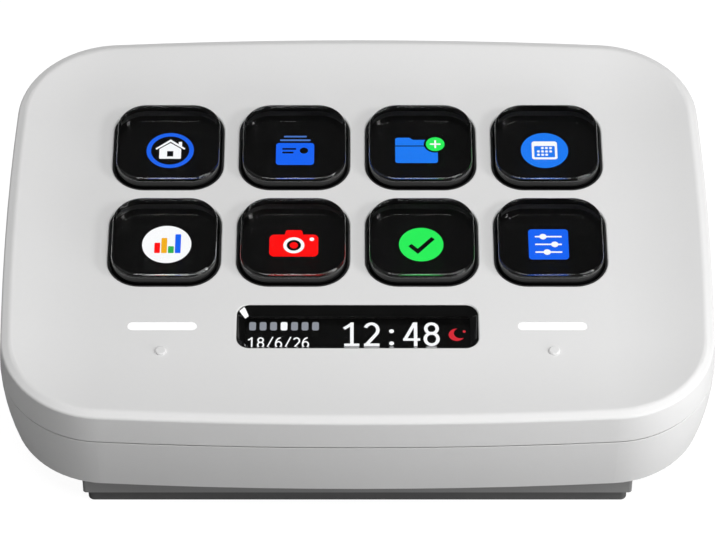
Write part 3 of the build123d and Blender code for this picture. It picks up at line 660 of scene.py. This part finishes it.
# key 7: a check mark on a green disc
tick = soften(stroke([(-1.72, -0.10), (-0.52, -1.36), (1.82, 1.30)], 0.72), 0.12)
lit_piece("icon_check", [
    (LIME, [plus(disc(0, 0, 3.36))], [tick]),
], (9.65, -1.88))

# key 8: three sliders on a rounded square
tracks = [(1.55, -0.80), (0.0, 0.95), (-1.55, -0.25)]
track_shapes, knob_shapes = [], []
for y, x in tracks:
    track_shapes.append(rounded(-2.05, 2.05, y - 0.15, y + 0.15, 0.14))
    knob_shapes.append(disc(x, y, 0.56, 40))
lit_piece("icon_sliders", [
    (BLUE, [plus(rounded(-3.02, 3.02, -3.02, 3.02, 0.55))], track_shapes + knob_shapes),
    (WHITE, [plus(rounded(-2.04, 2.04, y - 0.14, y + 0.14, 0.13)) for y, x in tracks]
     + [plus(disc(x, y, 0.55, 40)) for y, x in tracks], []),
], (28.91, -1.84))

# ---------------------------------------------------------------------- numerals
W = 0.52   # stroke
H = 4.56   # height


def numeral(ch):
    """Groups and cuts for one numeral, centred on x = 0, standing on y = 0."""
    top, low, a = H - W / 2, W / 2, 1.20 - W / 2
    frame_cut = [box2(-3, 3, -2, 0), box2(-3, 3, H, H + 2)]
    if ch == "1":
        return [plus(box2(-W / 2 + 0.06, W / 2 + 0.06, 0, H)), plus(box2(-1.08, 1.16, 0, 0.46)),
                plus(stroke([(0.20, H - 0.16), (-1.12, H - 1.22)], 0.50))], frame_cut
    if ch == "2":
        ry = 1.20
        path = arc(0, top - ry, a, ry, 158, -38, 30) + [(-0.86, 0.10)]
        return [plus(stroke(path, W)), plus(box2(-1.12, 1.18, 0, 0.48))], frame_cut
    if ch == "4":
        return [plus(box2(0.34, 0.34 + W, 0, H)), plus(box2(-1.26, 1.26, 1.02, 1.48)),
                plus(stroke([(0.56, H + 0.1), (-1.02, 1.18)], 0.50))], frame_cut + [box2(-3, -1.26, 0, 3)]
    if ch == "8":
        return [hoop(0, 3.36, 0.84, 0.94, W), hoop(0, 1.36, a, 1.10, W)], frame_cut
    if ch == "6":
        path = arc(0.62, 1.62, 1.56, 2.68, 180, 88, 26)
        return [hoop(0, 1.48, a, 1.22, W), plus(stroke(path, W))], frame_cut
    if ch == "/":
        return [plus(stroke([(-1.05, -0.35), (1.05, H + 0.15)], 0.44))], []
    if ch == ":":
        return [plus(disc(0, 0.50, 0.37, 28)), plus(disc(0, 2.86, 0.37, 28))], []
    raise ValueError(ch)


def numerals(name, text, x0, pitch, base, k, material):
    layers = []
    for j, ch in enumerate(text):
        groups, cuts = numeral(ch)
        dx = x0 + pitch * j
        groups = [moved(g, dx, base, k) for g in groups]
        cuts = [[(x * k + dx, y * k + base) for x, y in c] for c in cuts]
        layers.append((material, groups, cuts))
    return lit_piece(name, layers, (0.0, 0.0))


numerals("info_clock", "12:48", -0.88, 2.975, -21.12, 1.0, WHITE)
numerals("info_date", "18/6/26", -15.70, 1.333, -21.50, 0.450, WHITE)

# a strip of seven marks, one bright
marks, today = [], []
for j in range(7):
    cx = -15.60 + 1.56 * j
    mark = [("+", rounded(cx - 0.50, cx + 0.50, -18.10, -16.50, 0.30))]
    (today if j == 3 else marks).append(mark)
lit_piece("info_week", [(WHITE, today, []), (SILVER, marks, [])], (0.0, 0.0))

lit_piece("info_moon", [
    (CRIMSON, [[("+", disc(-0.15, 0, 1.18, 60)), ("-", disc(0.42, 0.30, 1.00, 60))], plus(disc(0.98, 0.62, 0.22, 20))], []),
], (14.90, -18.95))

# ========================================================================= stage


def stage_plane(name, z, half, material):
    mesh = bpy.data.meshes.new(name)
    n = 24
    verts, faces = [], []
    for j in range(n + 1):
        for i in range(n + 1):
            verts.append((-half + 2 * half * i / n, -half + 2 * half * j / n, z))
    for j in range(n):
        for i in range(n):
            a = j * (n + 1) + i
            faces.append((a, a + 1, a + n + 2, a + n + 1))
    mesh.from_pydata(verts, [], faces)
    mesh.materials.append(material)
    obj = link(bpy.data.objects.new(name, mesh))
    return obj


def floor_material(name, level, lift):
    m = Mat(name)
    m.b.inputs["Specular IOR Level"].default_value = 0.0
    m.b.inputs["Roughness"].default_value = 0.9
    m.set("Base Color", m.ramp(m.noise(3.0, 2.0, 0.5), [(0.3, grey(level * 0.99)), (0.7, grey(level))]))
    m.b.inputs["Emission Color"].default_value = (1, 1, 1, 1)
    m.b.inputs["Emission Strength"].default_value = lift
    return m.m


seen = stage_plane("floor_seen", -0.00003, 3.0, floor_material("floor_white", 0.16, 0.95))
seen.visible_diffuse = False
seen.visible_glossy = False
seen.visible_shadow = False
bounce = stage_plane("floor_bounce", -0.0004, 3.0, floor_material("floor_pale", 0.45, 0.0))
bounce.visible_camera = False
bounce.visible_transmission = False

# ======================================================================== lights


def softbox(name, direction, distance, size, power, target=(0.0, 0.0, 0.02)):
    data = bpy.data.lights.new(name, "AREA")
    data.shape = "RECTANGLE"
    data.size, data.size_y = size
    data.energy = power
    obj = link(bpy.data.objects.new(name, data))
    d = Vector(direction).normalized()
    obj.location = Vector(target) + d * distance
    obj.rotation_euler = d.to_track_quat("Z", "Y").to_euler()
    return obj




def bearing(az, el):
    """Direction at an azimuth to the right of the front and an elevation, in degrees."""
    a, e = math.radians(az), math.radians(el)
    return (math.sin(a) * math.cos(e), -math.cos(a) * math.cos(e), math.sin(e))


softbox("window_light", bearing(73.5, 27.9), 0.42, (0.08, 0.08), 0.45, target=(-0.0168, -0.0165, 0.0215))
softbox("key_light", bearing(70, 62), 0.70, (0.32, 0.32), 2.15)
softbox("top_light", bearing(-24, 75), 0.80, (0.36, 0.36), 2.40)
softbox("low_light", bearing(50, 6), 0.28, (0.18, 0.06), 0.27)
softbox("left_fill", bearing(-80, 50), 0.90, (0.60, 0.60), 0.38)

world = bpy.data.worlds.new("studio")
SCENE.world = world
world.use_nodes = True
bg = world.node_tree.nodes["Background"]
bg.inputs["Color"].default_value = (1, 1, 1, 1)
bg.inputs["Strength"].default_value = 0.048

# ======================================================================== camera
cam = bpy.data.cameras.new("camera")
cam.sensor_fit = "HORIZONTAL"
cam.sensor_width = 36.0
cam.lens = 196.8
cam.clip_start = 0.02
cam.clip_end = 20.0
camera = link(bpy.data.objects.new("camera", cam))
camera.location = (0.000087, -0.4116, 0.4488)
camera.rotation_euler = (math.radians(90.0 - 46.6), 0.0, 0.0)
SCENE.camera = camera

SCENE.view_settings.view_transform = "Standard"
SCENE.view_settings.look = "None"
SCENE.view_settings.exposure = 0.0
SCENE.view_settings.gamma = 1.0
